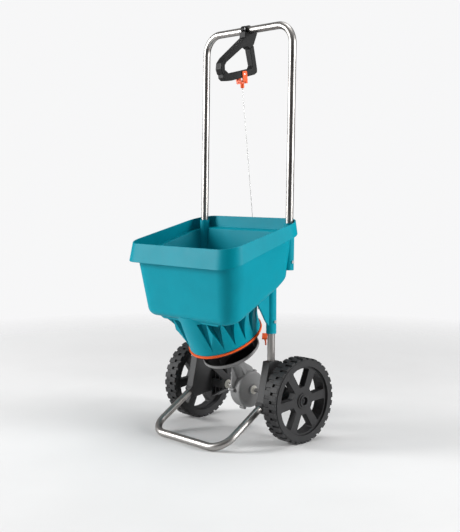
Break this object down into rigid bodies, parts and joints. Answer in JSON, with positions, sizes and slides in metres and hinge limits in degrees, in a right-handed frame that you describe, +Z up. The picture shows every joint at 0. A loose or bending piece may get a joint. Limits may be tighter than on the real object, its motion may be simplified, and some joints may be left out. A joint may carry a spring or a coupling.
{
  "type": "push garden spreader",
  "caption": "Push spreader: tilted hopper on a bent tube frame with two wheels, a bevel-geared spinner disc, a dosing ring and a squeeze grip that pulls a shutter open by wire.",
  "frame": {"origin": "on the ground, in the middle of the space the spreader takes up, parked on its wheels and foot bar", "axes": "+Z up, -Y the front of the hopper, X along the axle, +X the driven wheel"},
  "size_m": [0.443, 0.383, 1.1194],
  "materials": {
    "stainless_steel": "bare bent tube, satin",
    "grey_plastic": "fine moulded grain",
    "wheel_plastic": "fine moulded grain",
    "zinc_steel": "zinc plated",
    "axle_steel": "bright drawn",
    "nylon": "natural",
    "black_plastic": "fine moulded grain",
    "teal_plastic": "semi-gloss moulded",
    "orange_plastic": "semi-gloss moulded",
    "wire_steel": "stranded wire"
  },
  "bodies": {
    "frame": {"handle_tube": "stainless_steel", "stand_tube": "stainless_steel", "leg_bracket_left": "grey_plastic", "leg_bracket_right": "grey_plastic", "bracket_screws": "zinc_steel", "bracket_nuts": "zinc_steel", "axle_bushes": "nylon", "gearbox_housing": "grey_plastic", "gearbox_cover": "grey_plastic", "gearbox_bushes": "nylon", "gearbox_screws": "zinc_steel", "shaft_bushes": "nylon", "base_plate": "black_plastic", "base_plate_screws": "zinc_steel", "hopper": "teal_plastic", "handle_screws": "zinc_steel", "stand_screws": "zinc_steel", "crank_pin": "zinc_steel", "wire_guide": "teal_plastic"},
    "axle_set": {"axle": "axle_steel", "drive_pin": "zinc_steel", "wheel_right": "wheel_plastic", "crown_gear": "nylon", "wheel_washers": "zinc_steel", "hub_screws": "zinc_steel"},
    "left_wheel": {"wheel_left": "wheel_plastic"},
    "spinner": {"impeller_shaft": "axle_steel", "pinion": "nylon", "impeller_disc": "grey_plastic", "impeller_vanes": "black_plastic", "agitator": "black_plastic"},
    "dosing": {"dosing_ring": "orange_plastic"},
    "shutter": {"shutter_plate": "black_plastic"},
    "crank": {"shutter_crank": "black_plastic"},
    "lever": {"grip_arm": "black_plastic", "grip_strap": "black_plastic", "grip_loop": "black_plastic", "grip_screws": "zinc_steel", "hanger_pin": "zinc_steel"},
    "hanger": {"wire_hanger": "orange_plastic", "upper_wire": "wire_steel"},
    "adjuster": {"adjuster_nut": "orange_plastic"},
    "wire": {"lower_wire": "wire_steel", "wire_nipple": "zinc_steel"}
  },
  "joints": [
    {"name": "axle_spin", "type": "hinge", "parent": "frame", "child": "axle_set", "pos_m": [0, 0.0775, 0.114], "axis": [1, 0, 0], "continuous": true},
    {"name": "left_wheel_spin", "type": "hinge", "parent": "frame", "child": "left_wheel", "pos_m": [0, 0.0775, 0.114], "axis": [1, 0, 0], "continuous": true},
    {"name": "impeller_spin", "type": "hinge", "parent": "frame", "child": "spinner", "pos_m": [0, 0.0775, 0.114], "axis": [0, -0.4571, 0.8894], "continuous": true},
    {"name": "dosing_turn", "type": "hinge", "parent": "frame", "child": "dosing", "pos_m": [0, 0.0775, 0.114], "axis": [0, -0.4571, 0.8894], "range_deg": [-15, 15]},
    {"name": "lever_pull", "type": "hinge", "parent": "frame", "child": "lever", "pos_m": [0, 0.0829, 1.106], "axis": [1, 0, 0], "range_deg": [-20, 0], "stiffness_Nm_per_rad": 1.5, "springref_deg": 5.73},
    {"name": "hanger_swing", "type": "hinge", "parent": "lever", "child": "hanger", "pos_m": [0, 0.0575, 0.985], "axis": [1, 0, 0], "range_deg": [0, 25.17]},
    {"name": "adjuster_turn", "type": "hinge", "parent": "hanger", "child": "adjuster", "pos_m": [0, 0.0575, 0.985], "axis": [0, -0.1117, 0.9937], "range_deg": [-180, 180]},
    {"name": "wire_slide", "type": "slide", "parent": "frame", "child": "wire", "axis": [0, -0.1117, 0.9937], "range_m": [0, 0.02205]},
    {"name": "crank_turn", "type": "hinge", "parent": "frame", "child": "crank", "pos_m": [0, 0.09728, 0.34295], "axis": [1, 0, 0], "range_deg": [0, 37.83]},
    {"name": "shutter_slide", "type": "slide", "parent": "frame", "child": "shutter", "axis": [0, 0.8894, 0.4571], "range_m": [0, 0.00973]}
  ],
  "couplings": [
    {"joint": "impeller_spin", "follows": "axle_spin", "ratio": -3},
    {"joint": "hanger_swing", "follows": "lever_pull", "ratio": -1.258},
    {"joint": "wire_slide", "follows": "lever_pull", "m_per_rad": -0.063137},
    {"joint": "crank_turn", "follows": "lever_pull", "ratio": -1.8911},
    {"joint": "shutter_slide", "follows": "lever_pull", "m_per_rad": -0.027854}
  ]
}
